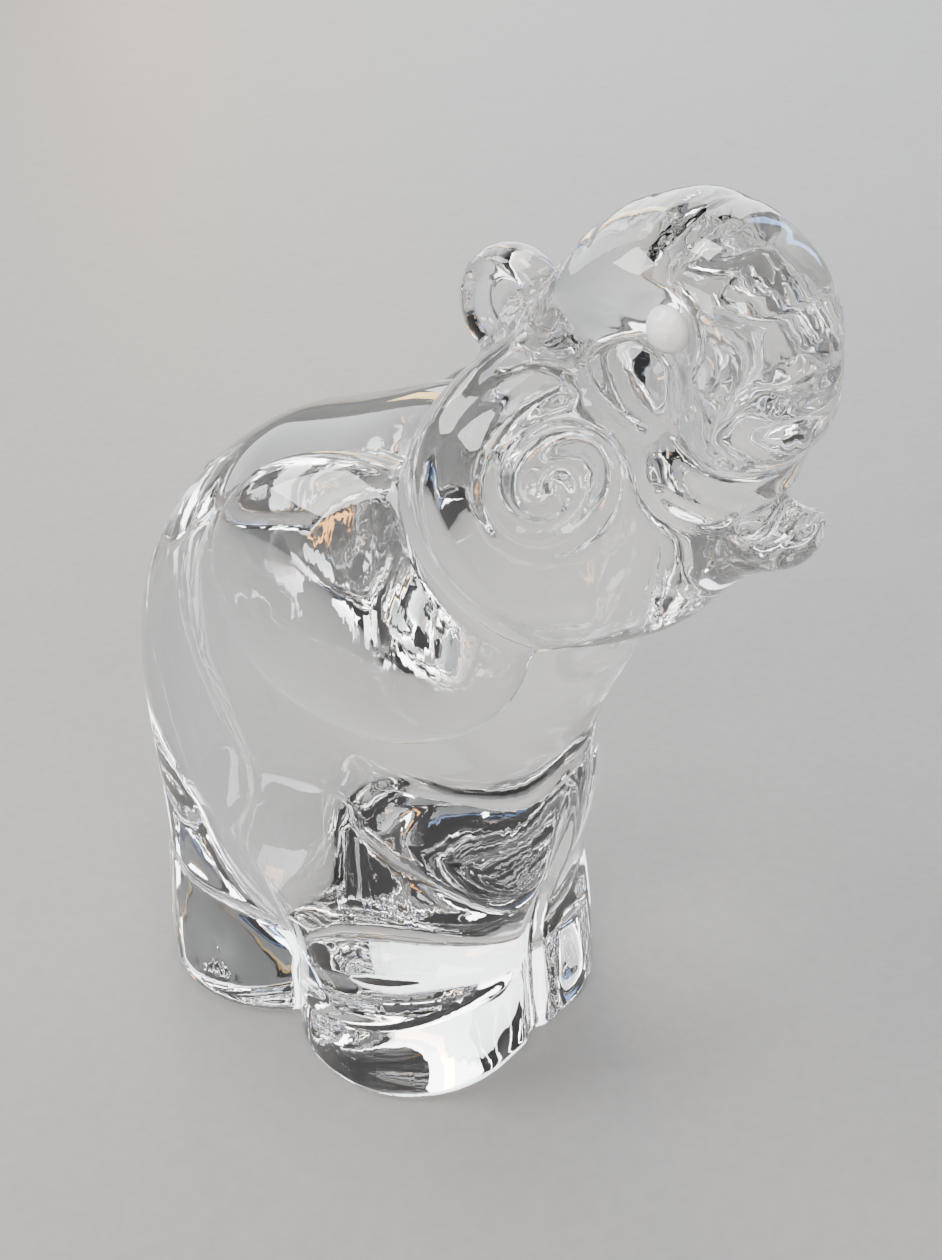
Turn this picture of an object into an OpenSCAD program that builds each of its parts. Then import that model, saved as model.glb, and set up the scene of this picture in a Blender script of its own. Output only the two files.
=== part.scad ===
// Crystal glass elephant with a raised head, a curled trunk and an open mouth.
// It faces -Y, stands on Z = 0, and its own right side is -X.
// Every gather of glass is a node of its own, and neighbours meet face to face.

/* [Stance] */
// distance from the middle plane out to the centre of each foot
foot_side = 4.3; // [3:0.1:7]
// distance from the middle of the stance to the centre of each foot, fore and aft
foot_reach = 9.4; // [7:0.1:13]
// radius of each foot pad
foot_radius = 11.1; // [9:0.1:14]
// radius of each leg where it has run up into the belly
leg_radius = 9.6; // [7:0.1:12]
// height of the leg columns, up to inside the belly
leg_height = 30; // [22:1:34]
// rounding where a foot wall turns into the sole
sole_round = 0.8; // [0.2:0.1:2]
// radius of the ground hollow in the middle of the sole
pontil_radius = 5.2; // [3:0.1:8]
// depth of the ground hollow in the middle of the sole
pontil_depth = 0.7; // [0.3:0.1:1.5]

/* [Body] */
// half width of the barrel
barrel_half_width = 16.4; // [13:0.1:20]
// half length of the barrel
barrel_half_length = 22.4; // [18:0.1:27]
// half height of the barrel
barrel_half_height = 25; // [20:0.1:30]
// height of the barrel's centre above the sole
barrel_centre_height = 30; // [26:0.1:34]
// how far the barrel's centre sits behind the middle of the stance
barrel_setback = 1.6; // [0:0.1:5]
// half width of the shoulders
shoulder_half_width = 13.2; // [10:0.1:16]
// half thickness of the shoulders, from chest to nape
shoulder_half_depth = 14; // [11:0.1:18]
// how far ahead of the stance the shoulders hang
shoulder_reach = 15.4; // [10:0.1:20]
// height of the shoulders' centre above the sole
shoulder_height = 50.4; // [44:0.1:56]

/* [Head] */
// half width of the skull
head_half_width = 11.8; // [9:0.1:15]
// half length of the skull from nape to face
head_half_length = 12.8; // [10:0.1:17]
// half height of the skull
head_half_height = 10.9; // [9:0.1:15]
// how far ahead of the stance the skull's centre hangs
head_reach = 25.5; // [20:0.1:32]
// height of the skull's centre
head_height = 60.6; // [52:0.1:66]
// upward tilt of the face
head_tilt = 34; // [20:1:50]
// how far ahead of the stance the lower lip reaches
lip_reach = 40.6; // [36:0.1:46]
// height of the lower lip's tip
lip_height = 61.6; // [56:0.1:66]
// half width of the lower lip's tip
lip_half_width = 3.6; // [2:0.1:6]
// half thickness of the lower lip's tip
lip_half_thickness = 2.1; // [1.5:0.1:4]

/* [Trunk] */
// radius of the curl, from its middle out to the centre of the rope of glass
curl_radius = 4.7; // [4:0.1:7]
// radius of the rope of glass that makes the curl
rope_radius = 4.3; // [3.2:0.1:6]
// how much wider than deep the rope of glass is
rope_spread = 1.5; // [1:0.05:2]
// how far ahead of the stance the middle of the curl is
curl_reach = 32.7; // [28:0.1:38]
// height of the middle of the curl
curl_height = 73.2; // [66:0.1:80]
// half width of the flattened trunk tip, seen from the side
tip_half_span = 4.2; // [3:0.1:6]
// half thickness of the flattened trunk tip
tip_half_thickness = 2; // [1.2:0.1:3]

/* [Ears, eyes and tail] */
// half length of each ear, from its root back along the shoulder
ear_half_length = 14.2; // [10:0.1:17]
// half height of each ear
ear_half_height = 10.4; // [8:0.1:14]
// half thickness of each ear
ear_half_thickness = 3.4; // [2:0.1:5]
// distance of each ear's centre from the middle plane
ear_side = 11.4; // [9:0.1:14]
// radius of the white eye spots
eye_radius = 1.6; // [1:0.1:2.5]
// radius of the tail at its root
tail_radius = 1.6; // [1:0.1:3]
// angle of the tail's root above the barrel's middle, seen from the side
tail_root_angle = 34; // [20:1:45]
// angle of the tail's end below the barrel's middle, seen from the side
tail_end_angle = 12; // [0:1:25]

/* [Hidden] */
$fn = 96;
pontil_ball = (pontil_radius * pontil_radius + pontil_depth * pontil_depth) / (2 * pontil_depth);
block = 60;
centring = 8.65;
facets = 36;
ear_reach = 12.2;
ear_height = 50.6;
ear_toe_in = 8;
ear_lean = 16;
tip_reach = 17.8;
tip_height = 71.6;
root_reach = 36.6;
root_height = 68.6;
root_half_width = 6.2;
root_half_depth = 5;
root_half_length = 4.6;
bridge_reach = 25;
bridge_height = 72;
bridge_half_width = 4.6;
bridge_half_length = 5.4;
bridge_half_height = 5;
jaw_reach = 31;
jaw_height = 56.4;
jaw_half_width = 6.4;
jaw_half_thickness = 3.6;
eye_side = 5.1;
eye_reach = 34;
eye_height = 75.8;
eye_half_thickness = 1.3;
tail_setback = 0.2;
tail_sweep = 23.6;
tail_end_radius = tail_radius * 1.25;
// the node to draw, or all of them

// slides a finished piece back, so the origin lies under the middle of the whole outline
module placed() {
    translate([0, centring, 0]) children();
}

// an egg-shaped gather of glass, given by its half sizes
module gather(half_width, half_length, half_height) {
    scale([half_width, half_length, half_height]) sphere(r = 1);
}

module barrel_form() {
    translate([0, barrel_setback, barrel_centre_height])
        gather(barrel_half_width, barrel_half_length, barrel_half_height);
}

module shoulder_form() {
    translate([0, -shoulder_reach, shoulder_height])
        gather(shoulder_half_width, shoulder_half_depth, shoulder_half_depth);
}

// the barrel and the shoulders, drawn into one smooth mass
module body_form() {
    hull() {
        barrel_form($fn = facets);
        shoulder_form($fn = facets);
    }
}

module head_form() {
    hull()
        translate([0, -head_reach, head_height])
            rotate([-head_tilt, 0, 0])
                gather(head_half_width, head_half_length, head_half_height, $fn = facets);
}

// the jaw, drawn out from inside the head to the tip of the lip
module lip_form() {
    hull() {
        translate([0, -jaw_reach, jaw_height])
            gather(jaw_half_width, jaw_half_thickness, jaw_half_thickness, $fn = facets);
        translate([0, -lip_reach, lip_height])
            gather(lip_half_width, lip_half_thickness, lip_half_thickness, $fn = facets);
    }
}

module curl_form() {
    translate([0, -curl_reach, curl_height])
        scale([rope_spread, 1, 1])
            rotate([0, 90, 0])
                rotate_extrude()
                    translate([curl_radius, 0])
                        circle(r = rope_radius);
}

module root_form() {
    translate([0, -root_reach, root_height])
        gather(root_half_width, root_half_depth, root_half_length);
}

module bridge_form() {
    translate([0, -bridge_reach, bridge_height])
        gather(bridge_half_width, bridge_half_length, bridge_half_height);
}

module trunk_form() {
    curl_form();
    root_form();
    bridge_form();
}

module eye_form(side) {
    translate([side * eye_side, -eye_reach, eye_height])
        gather(eye_half_thickness, eye_radius, eye_radius);
}

module ear_form() {
    translate([-ear_side, -ear_reach, ear_height])
        rotate([0, ear_lean, -ear_toe_in])
            gather(ear_half_thickness, ear_half_length, ear_half_height);
}

// a left leg column with a rounded foot, trimmed to its own quarter of the stance
module leg_form(aft) {
    intersection() {
        translate([foot_side, aft * foot_reach, 0]) {
            translate([0, 0, sole_round])
                cylinder(h = leg_height - sole_round, r1 = foot_radius, r2 = leg_radius);
            cylinder(h = sole_round, r = foot_radius - sole_round);
            translate([0, 0, sole_round])
                rotate_extrude()
                    translate([foot_radius - sole_round, 0])
                        circle(r = sole_round);
        }
        translate([block / 2, aft * block / 2, 0])
            cube(block, center = true);
    }
}

module pontil_form() {
    translate([0, 0, pontil_depth - pontil_ball])
        sphere(r = pontil_ball);
}

module foot_left(aft) {
    color("lightcyan") placed()
        difference() {
            leg_form(aft);
            body_form();
            pontil_form();
        }
}

module foot_right(aft) {
    mirror([1, 0, 0]) foot_left(aft);
}

module body() {
    color("aliceblue") placed() body_form();
}

module head() {
    color("azure") placed()
        difference() {
            head_form();
            body_form();
        }
}

module trunk() {
    color("lightblue") placed()
        difference() {
            trunk_form();
            head_form();
            eye_form(-1);
            eye_form(1);
        }
}

module trunk_tip() {
    color("powderblue") placed()
        difference() {
            translate([0, -tip_reach, tip_height])
                gather(tip_half_thickness, tip_half_span, tip_half_span);
            bridge_form();
            head_form();
            body_form();
        }
}

module lower_lip() {
    color("paleturquoise") placed()
        difference() {
            lip_form();
            head_form();
        }
}

module ear_right() {
    color("lightskyblue") placed()
        difference() {
            ear_form();
            body_form();
            head_form();
        }
}

module ear_left() {
    mirror([1, 0, 0]) ear_right();
}

module eye(side) {
    color("white") placed() eye_form(side);
}

module tail_form() {
    translate([0, tail_setback, barrel_centre_height])
        rotate([0, 90, 0])
            rotate([0, 0, 90 - tail_end_angle]) {
                rotate_extrude(angle = tail_root_angle + tail_end_angle)
                    translate([tail_sweep, 0])
                        circle(r = tail_radius);
                translate([tail_sweep, 0, 0])
                    sphere(r = tail_end_radius);
            }
}

module tail() {
    color("lightsteelblue") placed()
        difference() {
            tail_form();
            body_form();
        }
}

body();
head();
trunk();
trunk_tip();
lower_lip();
ear_right();
ear_left();
foot_right(-1);  // foot_front_right
foot_left(-1);  // foot_front_left
foot_right(1);  // foot_rear_right
foot_left(1);  // foot_rear_left
eye(-1);  // eye_right
eye(1);  // eye_left
tail();
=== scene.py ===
"""Looks for the clear crystal elephant: one fused, polished figure with opal eye spots, on a pale sweep."""

import math

import bpy
import numpy as np
from mathutils import Matrix, Vector


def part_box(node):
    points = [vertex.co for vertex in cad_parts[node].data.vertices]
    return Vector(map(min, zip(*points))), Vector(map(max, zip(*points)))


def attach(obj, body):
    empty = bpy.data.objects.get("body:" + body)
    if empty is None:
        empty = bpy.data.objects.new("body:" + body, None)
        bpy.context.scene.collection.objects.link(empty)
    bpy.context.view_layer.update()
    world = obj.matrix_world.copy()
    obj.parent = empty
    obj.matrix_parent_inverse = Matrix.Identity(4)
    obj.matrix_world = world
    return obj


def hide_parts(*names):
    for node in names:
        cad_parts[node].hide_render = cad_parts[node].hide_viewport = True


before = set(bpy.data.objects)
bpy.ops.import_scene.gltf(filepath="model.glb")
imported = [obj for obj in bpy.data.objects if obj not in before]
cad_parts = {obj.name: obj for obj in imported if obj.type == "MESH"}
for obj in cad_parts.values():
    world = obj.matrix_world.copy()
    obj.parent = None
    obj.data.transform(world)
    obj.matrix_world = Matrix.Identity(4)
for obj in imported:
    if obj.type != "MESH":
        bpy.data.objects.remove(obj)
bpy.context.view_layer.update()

MM = 0.001
STANCE_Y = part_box("foot_rear_left")[0][1] / MM  # the middle of the stance, where the rear feet begin
SKIN_STEP = 0.43  # mm between the points of the skin
HOLLOW_RADIUS = 5.2  # mm, the ground hollow in the middle of the sole
HOLLOW_DEPTH = 0.7
LEG_TOP = 30.0  # mm, where the legs run out into the barrel
FLOOR_GAP = 0.00015  # m of air under the polished sole, so that it mirrors
CRYSTAL_IOR = 1.545
OPAL_IOR = 1.5
VIEW_TURN = -48.0  # degrees round the figure from straight in front
VIEW_DROP = 33.72  # degrees down from level
VIEW_ROLL = -1.4
LENS_LENGTH = 45.71  # mm
CLEAR_NODES = [
    "body", "head", "trunk", "trunk_tip", "lower_lip", "ear_right", "ear_left",
    "foot_front_right", "foot_front_left", "foot_rear_right", "foot_rear_left", "tail",
]


def reach(node):
    """A CAD node's lowest and highest corners, in millimetres about the middle of the stance."""
    low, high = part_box(node)
    shift = np.array([0.0, STANCE_Y, 0.0])
    return np.array(low) / MM - shift, np.array(high) / MM - shift


# ---------------------------------------------------------------- shaping hot glass
# A form is a function of position that is negative inside the glass.


def gather(p, centre, half, tilt=0.0, lean=0.0, toe=0.0):
    """An egg-shaped gather: tilt turns it nose up, lean tips its top outward, toe turns it in."""
    x, y, z = p[0] - centre[0], p[1] - centre[1], p[2] - centre[2]
    if toe:
        c, s = math.cos(math.radians(toe)), math.sin(math.radians(toe))
        x, y = c * x + s * y, c * y - s * x
    if lean:
        c, s = math.cos(math.radians(lean)), math.sin(math.radians(lean))
        x, z = c * x - s * z, c * z + s * x
    if tilt:
        c, s = math.cos(math.radians(tilt)), math.sin(math.radians(tilt))
        y, z = c * y - s * z, c * z + s * y
    near = np.sqrt((x / half[0]) ** 2 + (y / half[1]) ** 2 + (z / half[2]) ** 2)
    steep = np.sqrt((x / half[0] ** 2) ** 2 + (y / half[1] ** 2) ** 2 + (z / half[2] ** 2) ** 2)
    return near * (near - 1.0) / np.maximum(steep, 1e-6)


def trail(p, path, thickness, spread=1.0, ring_depth=0.0, ring_spacing=2.0):
    """A rope of glass along a path, its thickness changing from point to point, with rings pressed in it."""
    x, y, z = p[0] / spread, p[1], p[2]
    best = None
    travelled = 0.0
    for a, b, ra, rb in zip(path[:-1], path[1:], thickness[:-1], thickness[1:]):
        ab = (b[0] - a[0]) / spread, b[1] - a[1], b[2] - a[2]
        ax, ay, az = x - a[0] / spread, y - a[1], z - a[2]
        along = (ax * ab[0] + ay * ab[1] + az * ab[2]) / max(sum(v * v for v in ab), 1e-9)
        along = np.clip(along, 0.0, 1.0)
        off = np.sqrt((ax - along * ab[0]) ** 2 + (ay - along * ab[1]) ** 2 + (az - along * ab[2]) ** 2)
        off -= ra + (rb - ra) * along
        if ring_depth:
            length = math.sqrt(sum(v * v for v in ab))
            ridge = np.clip(1.0 - (x / 3.4) ** 2, 0.0, 1.0)
            off += ring_depth * ridge * np.sin((travelled + along * length) * 2 * math.pi / ring_spacing)
            travelled += length
        best = off if best is None else np.minimum(best, off)
    return best


def smooth_path(points, steps):
    """A flowing curve through a few points, each given as (x, y, z, thickness)."""
    pts = [np.array(q, float) for q in points]
    pts = [2 * pts[0] - pts[1]] + pts + [2 * pts[-1] - pts[-2]]
    out = []
    for i in range(1, len(pts) - 2):
        for k in range(steps):
            t = k / steps
            a, b, c, d = pts[i - 1], pts[i], pts[i + 1], pts[i + 2]
            bend = (2 * a - 5 * b + 4 * c - d) * t**2
            twist = (3 * b - a - 3 * c + d) * t**3
            out.append(0.5 * (2 * b + (c - a) * t + bend + twist))
    out.append(pts[-2])
    out = np.array(out)
    return [tuple(q[:3]) for q in out], [float(q[3]) for q in out]


def fuse(a, b, melt):
    """Two gathers fused hot: melt is how far the glass flows into the join."""
    h = np.clip(0.5 + 0.5 * (b - a) / melt, 0.0, 1.0)
    return b + (a - b) * h - melt * h * (1.0 - h)


def carve(a, tool, melt):
    """Glass pressed or ground away by a tool shape."""
    return -fuse(-a, tool, melt)


def leg_columns(p):
    """Fore and rear legs of one side: round columns, flatter inward, that meet in a sharp valley."""
    low, _ = reach("foot_front_left")
    side = 4.6
    fore_y = low[1] + 12.1
    columns = None
    for centre_y, girth in ((fore_y - 0.5, 11.0), (-fore_y - 0.2, 11.7)):
        height = np.clip(p[2], 0, 40)
        radius = girth - 0.05 * height - 2.4 * (height / 27.0) ** 3
        column = np.hypot(np.maximum(p[0] - side, 0.25 * (p[0] - side)), p[1] - centre_y) - radius
        columns = column if columns is None else fuse(columns, column, 0.7)
    return carve(columns, LEG_TOP - p[2], 6.0)


def torso(p):
    """Barrel, withers, shoulders and legs."""
    barrel = gather(p, (0, 0.4, 30.0), (16.2, 23.5, 25.0))
    shoulders = gather(p, (0, -15.0, 50.2), (12.6, 13.0, 13.8))
    withers = gather(p, (0, -4.0, 44.5), (13.4, 15.0, 14.2))
    mass = fuse(fuse(barrel, withers, 6.0), shoulders, 7.0)
    return fuse(mass, leg_columns(p), 4.0)


def skull(p):
    """The round of the head: crown, cheeks, forehead and muzzle."""
    crown = gather(p, (0, -25.0, 60.6), (11.3, 11.8, 10.2), tilt=-34)
    cheek = gather(p, (6.3, -23.6, 59.8), (6.2, 9.6, 9.4), tilt=-20)
    forehead = gather(p, (0, -31.4, 70.6), (6.2, 5.8, 5.4))
    muzzle = gather(p, (0, -35.2, 66.2), (6.6, 4.8, 4.6))
    head = fuse(crown, cheek, 2.5)
    head = fuse(head, forehead, 2.0)
    return fuse(head, muzzle, 1.6)


def jaw(p):
    """The lower jaw, drawn out to a lip with a small bowl pressed in it."""
    path, thick = smooth_path(
        [(0, -28.2, 56.0, 5.2), (0, -33.0, 58.8, 4.2), (0, -37.0, 60.6, 2.9), (0, -40.2, 61.7, 2.3)], 4
    )
    lip = trail(p, path, thick, spread=1.45)
    bowl = gather(p, (0, -38.6, 63.6), (3.6, 3.4, 1.9), tilt=-32)
    return carve(lip, bowl, 0.8)


def trunk_curl(p):
    """The trunk thrown up and back over the forehead, with fine rings pressed across it."""
    low, high = reach("trunk")
    front, top = low[1], high[2]
    path, thick = smooth_path(
        [
            (0, front + 4.0, top - 12.0, 4.2),
            (0, front + 4.6, top - 7.8, 4.3),
            (0, front + 6.9, top - 5.2, 4.4),
            (0, front + 10.4, top - 4.4, 4.3),
            (0, front + 14.0, top - 6.3, 4.0),
            (0, front + 17.0, top - 9.3, 3.5),
            (0, front + 19.8, top - 11.4, 2.7),
            (0, front + 22.6, top - 11.6, 2.0),
        ],
        6,
    )
    return trail(p, path, thick, spread=1.5, ring_depth=0.12, ring_spacing=2.3)


def trunk_tip(p):
    """The flared tip: a thick round rim with a thin web of glass across it."""
    low, high = reach("trunk_tip")
    mid_y, mid_z = 0.5 * (low[1] + high[1]) - 0.5, high[2] - 4.2
    rim = []
    for k in range(25):
        turn = 2 * math.pi * k / 24
        rim.append((0.0, mid_y + 3.25 * math.cos(turn), mid_z + 3.15 * math.sin(turn), 1.05))
    path, thick = smooth_path(rim, 1)
    web = gather(p, (0, mid_y, mid_z), (0.6, 3.6, 3.6))
    return fuse(trail(p, path, thick, spread=1.6), web, 0.5)


def ear_flap(p):
    """The large oval of the ear, laid back along the shoulder."""
    return gather(p, (11.2, -12.4, 51.0), (4.1, 14.4, 10.6), lean=-16, toe=-8)


def on_cheek(y, z, sink):
    """A point laid on the round of the cheek."""
    round_off = 1 - ((y + 25.0) / 12.6) ** 2 - ((z - 60.6) / 11.6) ** 2
    return 11.7 * math.sqrt(max(round_off, 0.1)) - sink, y, z


def ear_whorl(p):
    """The curled root of the ear: an open rim round the back, and a rope of glass wound inward inside it."""
    rim, curl = [], []
    for k in range(16):
        turn = k / 15
        angle = math.radians(84 - 196 * turn)
        y = -27.6 + 8.3 * math.cos(angle)
        z = 64.6 + 8.6 * math.sin(angle)
        rim.append(on_cheek(y, z, 0.1) + (0.7 + 0.8 * math.sin(math.pi * (0.08 + 0.84 * turn)),))
    for k in range(30):
        turn = k / 29
        angle = math.radians(66 - 600 * turn)
        size = 4.4 * (1 - turn) ** 0.9 + 0.5
        y = -29.0 + size * math.cos(angle)
        z = 65.6 + size * math.sin(angle)
        girth = 0.45 + 0.5 * math.sin(math.pi * (0.1 + 0.6 * turn))
        curl.append(on_cheek(y, z, -0.1 - 0.3 * turn) + (girth,))
    glass = None
    for points in (rim, curl):
        path, thick = smooth_path(points, 2)
        rope = trail(p, path, thick)
        glass = rope if glass is None else fuse(glass, rope, 0.4)
    return glass


def tail_trail(p):
    """A thin trail of glass laid down the rump."""
    path, thick = smooth_path(
        [
            (0, 17.0, 46.5, 1.6),
            (0, 21.2, 39.6, 1.6),
            (0, 23.2, 32.0, 1.5),
            (0, 23.3, 26.2, 1.8),
            (0, 22.9, 24.4, 1.6),
        ],
        4,
    )
    return trail(p, path, thick)


def chest_cleft(p):
    """The tool that presses the groove between the front legs."""
    path, thick = smooth_path(
        [
            (0, -20.4, -2, 1.0),
            (0, -20.0, 14, 1.0),
            (0, -23.7, 28, 0.8),
            (0, -26.8, 40, 0.6),
            (0, -29.0, 46, 0.3),
        ],
        4,
    )
    return trail(p, path, thick)


def eye_seat(p):
    """The round hollow that an eye is pressed into."""
    low, high = reach("eye_left")
    middle = 0.5 * (low + high)
    off = (p[0] - high[0] - 1.6) ** 2 + (p[1] - middle[1]) ** 2 + (p[2] - middle[2]) ** 2
    return np.sqrt(off) - 2.9


def sole_hollow(p):
    """The shallow round hollow ground in the middle of the sole."""
    ball = (HOLLOW_RADIUS**2 + HOLLOW_DEPTH**2) / (2 * HOLLOW_DEPTH)
    return np.sqrt(p[0] ** 2 + p[1] ** 2 + (p[2] - HOLLOW_DEPTH + ball) ** 2) - ball


def elephant(p):
    """The whole fused figure, the same on both sides and ground flat underneath."""
    p = np.abs(p[0]), p[1], p[2]
    glass = fuse(torso(p), ear_flap(p), 0.3)
    head = fuse(skull(p), jaw(p), 1.6)
    head = fuse(head, ear_whorl(p), 0.7)
    head = fuse(head, trunk_curl(p), 0.8)
    head = fuse(head, trunk_tip(p), 0.8)
    glass = fuse(glass, head, 1.1)
    glass = carve(glass, eye_seat(p), 0.7)
    glass = fuse(glass, tail_trail(p), 0.6)
    glass = carve(glass, chest_cleft(p), 0.9)
    glass = carve(glass, p[2], 1.1)
    return carve(glass, sole_hollow(p), 0.2)


def sampled(form, low, high, step):
    """The form's value on an even grid, the same on both sides, and the grid's three axes."""
    half = int(math.ceil(high[0] / step)) + 1
    xs = (np.arange(half) + 0.5) * step
    ys = np.arange(low[1], high[1] + step, step)
    zs = np.arange(low[2], high[2] + step, step)
    grid = np.meshgrid(xs, ys, zs, indexing="ij")
    field = form([g.astype(np.float64) for g in grid])
    field = np.concatenate([field[::-1], field])
    return field, (np.concatenate([-xs[::-1], xs]), ys, zs)


def skin_points(field, axes, step):
    """One point in each cell that the skin runs through, and the number of each cell's point."""
    inside = field < 0
    cells = tuple(np.array(field.shape) - 1)
    total = np.zeros(cells + (3,))
    hits = np.zeros(cells)
    place = [(i, j, k) for i in (0, 1) for j in (0, 1) for k in (0, 1)]
    corner = [tuple(slice(i, i + n) for i, n in zip(where, cells)) for where in place]
    for a in range(8):
        for b in range(a + 1, 8):
            step_to = np.array(place[b]) - np.array(place[a])
            if np.abs(step_to).sum() != 1:
                continue
            crossed = inside[corner[a]] != inside[corner[b]]
            fa, fb = field[corner[a]], field[corner[b]]
            t = np.where(crossed, fa / np.where(crossed, fa - fb, 1.0), 0.0)
            for axis in range(3):
                total[..., axis] += np.where(crossed, place[a][axis] + t * step_to[axis], 0.0)
            hits += crossed
    used = hits > 0
    number = np.full(cells, -1)
    number[used] = np.arange(used.sum())
    points = np.argwhere(used) + total[used] / hits[used][:, None]
    points = np.stack([axes[a][0] + points[:, a] * step for a in range(3)], axis=1)
    return points, number


def skin_quads(field, number):
    """A quad round each edge of the grid that the skin crosses, facing outward."""
    inside = field < 0
    quads = []
    for axis in range(3):
        u, v = (axis + 1) % 3, (axis + 2) % 3
        near = [slice(1, -1)] * 3
        far = [slice(1, -1)] * 3
        near[axis], far[axis] = slice(0, -1), slice(1, None)
        first, second = inside[tuple(near)], inside[tuple(far)]
        for turned in (False, True):
            base = np.argwhere((~first & second) if turned else (first & ~second)) + 1
            base[:, axis] -= 1
            ring = []
            for du, dv in ((1, 1), (0, 1), (0, 0), (1, 0)):
                cell = base.copy()
                cell[:, u] -= du
                cell[:, v] -= dv
                ring.append(number[cell[:, 0], cell[:, 1], cell[:, 2]])
            ring = np.stack(ring, axis=1)
            quads.append(ring[:, ::-1] if turned else ring)
    return np.concatenate(quads)


def settle(points, form, step, rounds=3, small=0.02):
    """Moves the points onto the form's true surface, along its slope."""
    for _ in range(rounds):
        here = form([points[:, 0], points[:, 1], points[:, 2]])
        slope = np.zeros_like(points)
        for axis in range(3):
            ahead, behind = points.copy(), points.copy()
            ahead[:, axis] += small
            behind[:, axis] -= small
            rise = form([ahead[:, 0], ahead[:, 1], ahead[:, 2]])
            rise = rise - form([behind[:, 0], behind[:, 1], behind[:, 2]])
            slope[:, axis] = rise / (2 * small)
        steep = np.maximum((slope**2).sum(1), 0.2)
        move = -(here / steep)[:, None] * slope
        length = np.linalg.norm(move, axis=1)[:, None]
        points += move * np.minimum(1.0, 0.5 * step / np.maximum(length, 1e-9))


def drawn_skin(form, low, high, step):
    """Wraps a form in an even skin of quads, closed and facing outward."""
    field, axes = sampled(form, low, high, step)
    points, number = skin_points(field, axes, step)
    quads = skin_quads(field, number)
    settle(points, form, step)
    return points, quads


def glass_object(name, points, quads):
    """A smooth-shaded object from points in figure millimetres."""
    mesh = bpy.data.meshes.new(name)
    placed = (points + np.array([0.0, STANCE_Y, 0.0])) * MM
    mesh.from_pydata(placed.tolist(), [], quads.tolist())
    mesh.validate()
    mesh.shade_smooth()
    piece = bpy.data.objects.new(name, mesh)
    bpy.context.collection.objects.link(piece)
    return piece


def hand_worked_skin(piece, material, wave_depth, wave_scale, sole_height):
    """Geometry Nodes: lets the skin rise and fall in slow waves, except on the flat polished sole."""
    tree = bpy.data.node_groups.new("hand_worked_skin", "GeometryNodeTree")
    face = tree.interface
    face.new_socket("Skin", in_out="INPUT", socket_type="NodeSocketGeometry")
    inputs = {}
    dials = {"Wave Depth": wave_depth, "Wave Scale": wave_scale, "Sole Height": sole_height}
    for label, value in dials.items():
        socket = face.new_socket(label, in_out="INPUT", socket_type="NodeSocketFloat")
        inputs[socket.identifier] = value
    face.new_socket("Skin", in_out="OUTPUT", socket_type="NodeSocketGeometry")
    nodes, links = tree.nodes, tree.links
    given, made = nodes.new("NodeGroupInput"), nodes.new("NodeGroupOutput")
    position, normal = nodes.new("GeometryNodeInputPosition"), nodes.new("GeometryNodeInputNormal")
    waves = nodes.new("ShaderNodeTexNoise")
    waves.inputs["Detail"].default_value = 0.0
    links.new(position.outputs["Position"], waves.inputs["Vector"])
    links.new(given.outputs["Wave Scale"], waves.inputs["Scale"])
    centred = nodes.new("ShaderNodeMath")
    centred.operation = "SUBTRACT"
    centred.inputs[1].default_value = 0.5
    links.new(waves.outputs["Fac"], centred.inputs[0])
    split = nodes.new("ShaderNodeSeparateXYZ")
    links.new(position.outputs["Position"], split.inputs["Vector"])
    clear_of_sole = nodes.new("ShaderNodeMapRange")
    clear_of_sole.interpolation_type = "SMOOTHSTEP"
    links.new(split.outputs["Z"], clear_of_sole.inputs["Value"])
    links.new(given.outputs["Sole Height"], clear_of_sole.inputs["From Max"])
    rise, kept = nodes.new("ShaderNodeMath"), nodes.new("ShaderNodeMath")
    rise.operation = kept.operation = "MULTIPLY"
    links.new(centred.outputs["Value"], rise.inputs[0])
    links.new(given.outputs["Wave Depth"], rise.inputs[1])
    links.new(rise.outputs["Value"], kept.inputs[0])
    links.new(clear_of_sole.outputs["Result"], kept.inputs[1])
    offset = nodes.new("ShaderNodeVectorMath")
    offset.operation = "SCALE"
    links.new(normal.outputs["Normal"], offset.inputs[0])
    links.new(kept.outputs["Value"], offset.inputs["Scale"])
    lift = nodes.new("GeometryNodeSetPosition")
    links.new(given.outputs["Skin"], lift.inputs["Geometry"])
    links.new(offset.outputs["Vector"], lift.inputs["Offset"])
    real, finish = nodes.new("GeometryNodeRealizeInstances"), nodes.new("GeometryNodeSetMaterial")
    finish.inputs["Material"].default_value = material
    links.new(lift.outputs["Geometry"], real.inputs["Geometry"])
    links.new(real.outputs["Geometry"], finish.inputs["Geometry"])
    links.new(finish.outputs["Geometry"], made.inputs["Skin"])
    modifier = piece.modifiers.new("hand_worked_skin", "NODES")
    modifier.node_group = tree
    for identifier, value in inputs.items():
        modifier[identifier] = value
    bpy.context.view_layer.update()
    shown = piece.evaluated_get(bpy.context.evaluated_depsgraph_get())
    worked = bpy.data.meshes.new_from_object(shown)
    piece.modifiers.remove(modifier)
    plain = piece.data
    piece.data = worked
    bpy.data.meshes.remove(plain)


# ---------------------------------------------------------------- finishes


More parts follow.
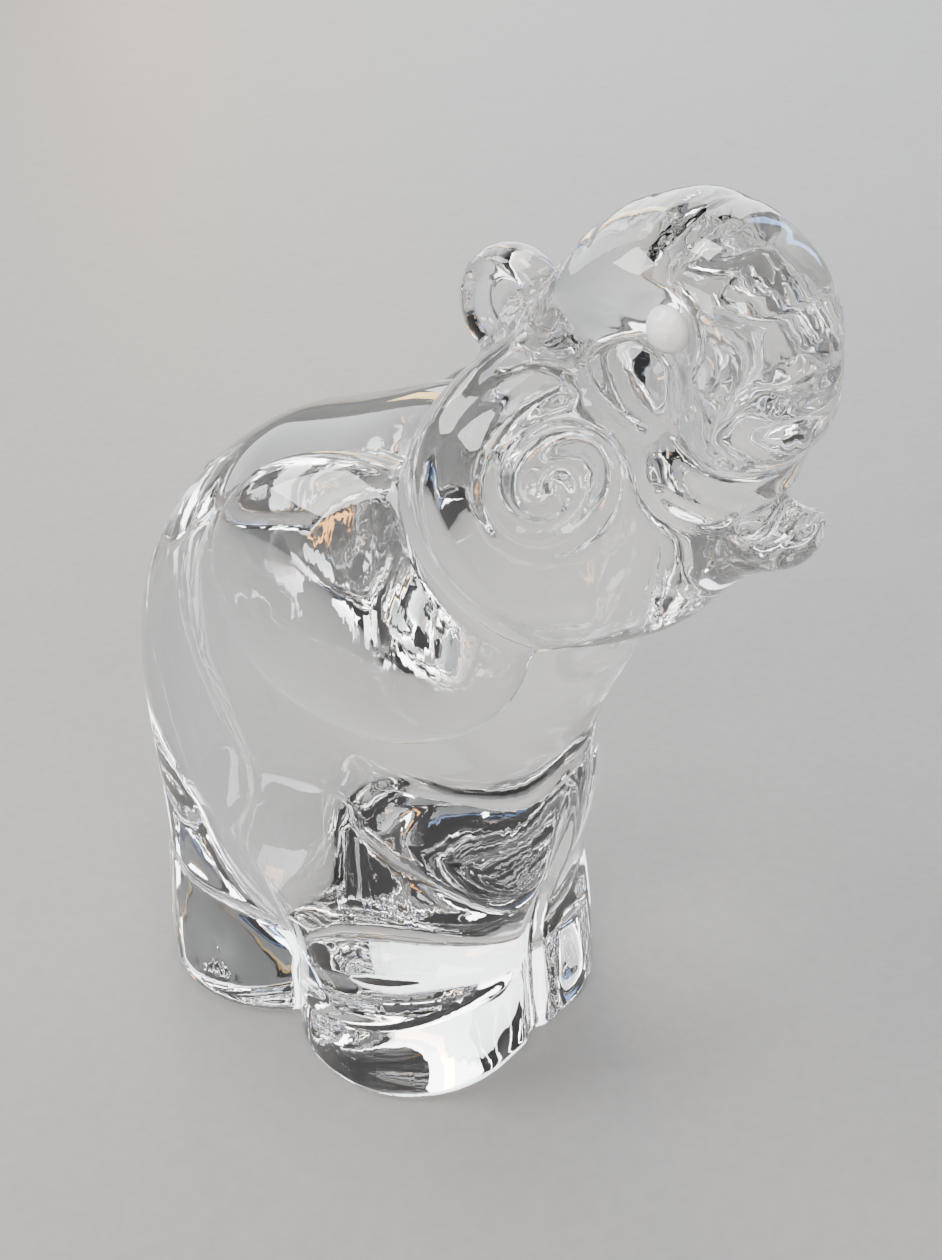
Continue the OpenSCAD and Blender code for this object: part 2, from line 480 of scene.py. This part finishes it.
def drawn_marks():
    """Marks left in hot-worked glass: slow waves, fine cords drawn upward, and smudges from handling."""
    group = bpy.data.node_groups.new("drawn_marks", "ShaderNodeTree")
    face = group.interface
    face.new_socket("Position", in_out="INPUT", socket_type="NodeSocketVector")
    for label in ("Wave Scale", "Cord Scale"):
        face.new_socket(label, in_out="INPUT", socket_type="NodeSocketFloat")
    for label in ("Waves", "Cords", "Smudges"):
        face.new_socket(label, in_out="OUTPUT", socket_type="NodeSocketFloat")
    nodes, links = group.nodes, group.links
    given, made = nodes.new("NodeGroupInput"), nodes.new("NodeGroupOutput")
    waves = nodes.new("ShaderNodeTexNoise")
    waves.inputs["Detail"].default_value = 1.0
    links.new(given.outputs["Position"], waves.inputs["Vector"])
    links.new(given.outputs["Wave Scale"], waves.inputs["Scale"])
    links.new(waves.outputs["Fac"], made.inputs["Waves"])
    drawn = nodes.new("ShaderNodeVectorMath")
    drawn.operation = "MULTIPLY"
    drawn.inputs[1].default_value = (1.0, 1.0, 0.07)
    cords = nodes.new("ShaderNodeTexNoise")
    cords.inputs["Detail"].default_value = 2.0
    cords.inputs["Distortion"].default_value = 0.4
    links.new(given.outputs["Position"], drawn.inputs[0])
    links.new(drawn.outputs["Vector"], cords.inputs["Vector"])
    links.new(given.outputs["Cord Scale"], cords.inputs["Scale"])
    links.new(cords.outputs["Fac"], made.inputs["Cords"])
    touch = nodes.new("ShaderNodeTexNoise")
    touch.inputs["Scale"].default_value = 210.0
    touch.inputs["Detail"].default_value = 6.0
    touch.inputs["Roughness"].default_value = 0.7
    spread = nodes.new("ShaderNodeMapRange")
    spread.inputs["From Min"].default_value = 0.56
    spread.inputs["From Max"].default_value = 0.74
    links.new(given.outputs["Position"], touch.inputs["Vector"])
    links.new(touch.outputs["Fac"], spread.inputs["Value"])
    links.new(spread.outputs["Result"], made.inputs["Smudges"])
    return group


def marked_finish(
    name, marks, wave_scale, cord_scale, tones, roughness, wave_depth, cord_depth, ground_sole=False
):
    """A finish whose tone, roughness and surface follow the drawn marks."""
    mat = bpy.data.materials.new(name)
    mat.use_nodes = True
    nodes, links = mat.node_tree.nodes, mat.node_tree.links
    shader = nodes["Principled BSDF"]
    place = nodes.new("ShaderNodeTexCoord")
    marking = nodes.new("ShaderNodeGroup")
    marking.node_tree = marks
    marking.inputs["Wave Scale"].default_value = wave_scale
    marking.inputs["Cord Scale"].default_value = cord_scale
    links.new(place.outputs["Object"], marking.inputs["Position"])
    tone = nodes.new("ShaderNodeValToRGB")
    tone.color_ramp.elements[0].position, tone.color_ramp.elements[0].color = 0.3, tones[0] + (1,)
    tone.color_ramp.elements[1].position, tone.color_ramp.elements[1].color = 0.7, tones[1] + (1,)
    links.new(marking.outputs["Cords"], tone.inputs["Fac"])
    links.new(tone.outputs["Color"], shader.inputs["Base Color"])
    rough = nodes.new("ShaderNodeMapRange")
    rough.inputs["To Min"].default_value, rough.inputs["To Max"].default_value = roughness
    links.new(marking.outputs["Smudges"], rough.inputs["Value"])
    links.new(rough.outputs["Result"], shader.inputs["Roughness"])
    split, clear_of_sole = nodes.new("ShaderNodeSeparateXYZ"), nodes.new("ShaderNodeMapRange")
    clear_of_sole.inputs["From Min"].default_value = 0.0004
    clear_of_sole.inputs["From Max"].default_value = 0.006
    links.new(place.outputs["Object"], split.inputs["Vector"])
    links.new(split.outputs["Z"], clear_of_sole.inputs["Value"])
    slow, fine = nodes.new("ShaderNodeBump"), nodes.new("ShaderNodeBump")
    if ground_sole:
        links.new(clear_of_sole.outputs["Result"], slow.inputs["Strength"])
        links.new(clear_of_sole.outputs["Result"], fine.inputs["Strength"])
    slow.inputs["Distance"].default_value = wave_depth
    fine.inputs["Distance"].default_value = cord_depth
    links.new(marking.outputs["Waves"], slow.inputs["Height"])
    links.new(marking.outputs["Cords"], fine.inputs["Height"])
    links.new(slow.outputs["Normal"], fine.inputs["Normal"])
    links.new(fine.outputs["Normal"], shader.inputs["Normal"])
    return mat, shader


def crystal_finish(marks):
    """Clear polished crystal with faint waves, cords and smudges."""
    mat, shader = marked_finish(
        "polished_lead_crystal",
        marks,
        wave_scale=130.0,
        cord_scale=900.0,
        tones=((0.975, 0.99, 0.985), (0.992, 0.998, 0.996)),
        roughness=(0.0, 0.012),
        wave_depth=0.00006,
        cord_depth=0.000005,
        ground_sole=True,
    )
    shader.inputs["IOR"].default_value = CRYSTAL_IOR
    shader.inputs["Transmission Weight"].default_value = 1.0
    return mat


def opal_finish(marks):
    """Blue-white opal glass, a little streaky."""
    mat, shader = marked_finish(
        "opal_glass",
        marks,
        wave_scale=900.0,
        cord_scale=1500.0,
        tones=((0.78, 0.87, 0.93), (0.93, 0.98, 1.0)),
        roughness=(0.1, 0.3),
        wave_depth=0.0002,
        cord_depth=0.00004,
    )
    shader.inputs["IOR"].default_value = OPAL_IOR
    shader.inputs["Subsurface Weight"].default_value = 0.3
    shader.inputs["Subsurface Scale"].default_value = 0.0006
    return mat


def floor_finish(marks):
    """A pale sweep with a fine grain."""
    mat, _ = marked_finish(
        "pale_sweep",
        marks,
        wave_scale=60.0,
        cord_scale=700.0,
        tones=((0.235, 0.235, 0.232), (0.255, 0.255, 0.251)),
        roughness=(0.55, 0.75),
        wave_depth=0.0004,
        cord_depth=0.00006,
    )
    return mat


marks = drawn_marks()
crystal = crystal_finish(marks)
opal = opal_finish(marks)

# The block of space, in millimetres, that the skin is drawn in.
lowest = np.array([-17.0, -44.2, -0.8])
highest = np.array([17.0, 27.4, 83.4])
points, quads = drawn_skin(elephant, lowest, highest, SKIN_STEP)
points[:, 2] = np.maximum(points[:, 2], 0.0)  # nothing hangs below the sole
figure = glass_object("crystal_elephant", points, quads)
hand_worked_skin(figure, crystal, wave_depth=0.0003, wave_scale=95.0, sole_height=0.005)
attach(figure, "root")
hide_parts(*CLEAR_NODES)
for eye in ("eye_right", "eye_left"):
    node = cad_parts[eye]
    node.data.materials.clear()
    node.data.materials.append(opal)

# ---------------------------------------------------------------- stage, light and camera

bpy.ops.mesh.primitive_circle_add(
    vertices=128, radius=0.85, fill_type="NGON", location=(0, 0, -FLOOR_GAP)
)
floor = bpy.context.object
floor.name = "pale_floor"
floor.data.materials.append(floor_finish(marks))

world = bpy.data.worlds.new("soft_studio")
bpy.context.scene.world = world
world.use_nodes = True
sky, wires = world.node_tree.nodes, world.node_tree.links
place = sky.new("ShaderNodeTexCoord")
split = sky.new("ShaderNodeSeparateXYZ")
ramp = sky.new("ShaderNodeValToRGB")
bands = ramp.color_ramp.elements
bands[0].position, bands[0].color = 0.0, (0.5, 0.5, 0.5, 1)
bands[1].position, bands[1].color = 0.85, (0.07, 0.07, 0.075, 1)
for height, tone in ((0.12, 0.36), (0.26, 0.01)):
    band = bands.new(height)
    band.color = (tone, tone, tone, 1)
wires.new(place.outputs["Generated"], split.inputs["Vector"])
wires.new(split.outputs["Z"], ramp.inputs["Fac"])
wires.new(ramp.outputs["Color"], sky["Background"].inputs["Color"])
sky["Background"].inputs["Strength"].default_value = 0.6


def softbox(name, place, aim, width, height, power, colour=(1, 1, 1)):
    """A soft rectangular lamp that isn't seen directly by the camera."""
    lamp = bpy.data.lights.new(name, "AREA")
    lamp.shape, lamp.size, lamp.size_y = "RECTANGLE", width, height
    lamp.energy, lamp.color = power, colour
    box = bpy.data.objects.new(name, lamp)
    box.location = place
    box.rotation_euler = (Vector(aim) - Vector(place)).to_track_quat("-Z", "Y").to_euler()
    box.visible_camera = False
    bpy.context.collection.objects.link(box)


middle = (0, 0, 0.04)
softbox("key_softbox", (-0.36, 0.40, 0.42), middle, 0.30, 0.34, 5.5, (1.0, 0.99, 0.97))
softbox("back_softbox_a", (0.46, 0.30, 0.30), middle, 0.42, 0.52, 3.6, (0.95, 0.98, 1.0))
softbox("back_softbox_b", (0.10, 0.52, 0.36), middle, 0.36, 0.60, 3.0, (0.95, 0.98, 1.0))
softbox("cool_strip", (0.60, 0.02, 0.30), middle, 0.07, 0.5, 1.0, (0.30, 0.50, 1.0))
softbox("warm_strip", (0.33, 0.46, 0.30), middle, 0.05, 0.5, 0.9, (1.0, 0.65, 0.25))
softbox("front_fill", (-0.20, -0.50, 0.50), middle, 0.12, 0.12, 1.2, (1.0, 0.99, 0.97))
softbox("side_softbox", (-0.46, -0.14, 0.44), middle, 0.26, 0.24, 1.9, (0.97, 0.99, 1.0))
softbox("overhead_fill", (0.0, -0.05, 0.55), middle, 0.16, 0.16, 1.6, (1.0, 0.99, 0.97))
softbox("warm_lamp_a", (-0.46, -0.14, 0.24), middle, 0.09, 0.035, 0.36, (1.0, 0.45, 0.12))
softbox("warm_lamp_b", (-0.55, -0.10, 0.50), middle, 0.05, 0.10, 0.50, (1.0, 0.50, 0.16))
softbox("warm_lamp_c", (-0.44, -0.24, 0.20), middle, 0.03, 0.08, 0.28, (1.0, 0.45, 0.12))
softbox("tube_lamp", (-0.40, -0.35, 0.60), middle, 0.02, 0.16, 1.0)

# Light turns inside solid crystal many times before it leaves.
bounces = bpy.context.scene.cycles
bounces.max_bounces, bounces.glossy_bounces, bounces.transmission_bounces = 24, 8, 18

view_from = Vector((-79.63, -84.48 + STANCE_Y, 114.0)) * MM
facing = (
    Matrix.Rotation(math.radians(VIEW_TURN), 4, "Z")
    @ Matrix.Rotation(math.radians(90.0 - VIEW_DROP), 4, "X")
    @ Matrix.Rotation(math.radians(VIEW_ROLL), 4, "Z")
)
lens = bpy.data.cameras.new("studio_camera")
lens.lens = LENS_LENGTH
lens.clip_start = 0.005
camera = bpy.data.objects.new("studio_camera", lens)
camera.matrix_world = Matrix.Translation(view_from) @ facing
bpy.context.collection.objects.link(camera)
bpy.context.scene.camera = camera
